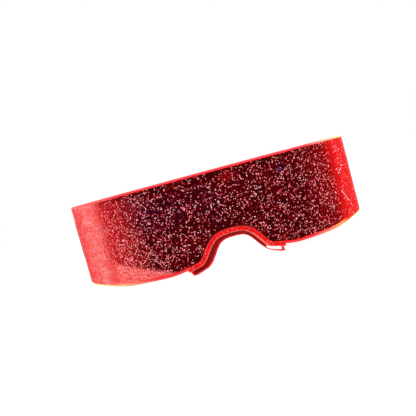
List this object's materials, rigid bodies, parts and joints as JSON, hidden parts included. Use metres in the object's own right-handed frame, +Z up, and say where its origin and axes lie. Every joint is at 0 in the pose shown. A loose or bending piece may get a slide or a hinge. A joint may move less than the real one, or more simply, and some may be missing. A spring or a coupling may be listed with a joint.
{
  "type": "light-up visor",
  "caption": "Wrap-round acrylic visor with a dark glitter film, a nose pad, a battery and light box at each end and folding arms.",
  "frame": {"origin": "under the middle of the bounding box, on the surface that the visor stands on", "axes": "+X to the wearer's left, +Y from the lens to the ear tips, +Z up"},
  "size_m": [0.1616, 0.167, 0.0505],
  "materials": {
    "edge_lit_acrylic": "clear cast acrylic, polished, lit red from its ends",
    "glitter_film": "dark film with red and pale glitter",
    "red_silicone": "soft, satin, slightly translucent",
    "black_abs": "moulded, fine spark texture",
    "black_nylon": "moulded, satin",
    "tip_rubber": "soft, matte",
    "button_rubber": "soft, matte",
    "circuit_board": "green solder mask",
    "diode": "white package with a resin window",
    "switch_metal": "tinned sheet",
    "cell_steel": "nickel-plated, brushed",
    "contact_bronze": "spring bronze, plated",
    "screw_steel": "zinc-plated"
  },
  "bodies": {
    "visor": {"lens_panel": "edge_lit_acrylic", "glitter_film": "glitter_film", "nose_pad": "red_silicone", "left_light_box_shell": "black_abs", "left_light_box_cover": "black_abs", "left_circuit_board": "circuit_board", "left_led_upper": "diode", "left_led_middle": "diode", "left_led_lower": "diode", "left_tact_switch": "switch_metal", "left_coin_cell_outer": "cell_steel", "left_coin_cell_inner": "cell_steel", "left_cell_rim_contact": "contact_bronze", "left_cell_base_contact": "contact_bronze", "left_case_screw_front": "screw_steel", "left_case_screw_rear": "screw_steel", "left_hinge_pin": "screw_steel", "right_light_box_shell": "black_abs", "right_light_box_cover": "black_abs", "right_circuit_board": "circuit_board", "right_led_upper": "diode", "right_led_middle": "diode", "right_led_lower": "diode", "right_tact_switch": "switch_metal", "right_coin_cell_outer": "cell_steel", "right_coin_cell_inner": "cell_steel", "right_cell_rim_contact": "contact_bronze", "right_cell_base_contact": "contact_bronze", "right_case_screw_front": "screw_steel", "right_case_screw_rear": "screw_steel", "right_hinge_pin": "screw_steel"},
    "left_arm": {"left_temple_arm": "black_nylon", "left_ear_tip": "tip_rubber"},
    "right_arm": {"right_temple_arm": "black_nylon", "right_ear_tip": "tip_rubber"},
    "left_button_cap": {"left_button": "button_rubber"},
    "right_button_cap": {"right_button": "button_rubber"},
    "left_hatch": {"left_battery_door": "black_abs", "left_battery_door_screw": "screw_steel"},
    "right_hatch": {"right_battery_door": "black_abs", "right_battery_door_screw": "screw_steel"}
  },
  "joints": [
    {"name": "left_arm_fold", "type": "hinge", "parent": "visor", "child": "left_arm", "pos_m": [0.0759, 0.01321, 0.03149], "axis": [0, 0, 1], "range_deg": [0, 90]},
    {"name": "right_arm_fold", "type": "hinge", "parent": "visor", "child": "right_arm", "pos_m": [-0.0759, 0.01321, 0.03149], "axis": [0, 0, -1], "range_deg": [0, 90]},
    {"name": "left_button_press", "type": "slide", "parent": "visor", "child": "left_button_cap", "axis": [-1, 0, 0], "range_m": [0, 0.0005], "stiffness_N_per_m": 600},
    {"name": "right_button_press", "type": "slide", "parent": "visor", "child": "right_button_cap", "axis": [1, 0, 0], "range_m": [0, 0.0005], "stiffness_N_per_m": 600},
    {"name": "left_hatch_off", "type": "slide", "parent": "visor", "child": "left_hatch", "axis": [-1, 0, 0], "range_m": [0, 0.012]},
    {"name": "right_hatch_off", "type": "slide", "parent": "visor", "child": "right_hatch", "axis": [1, 0, 0], "range_m": [0, 0.012]}
  ]
}
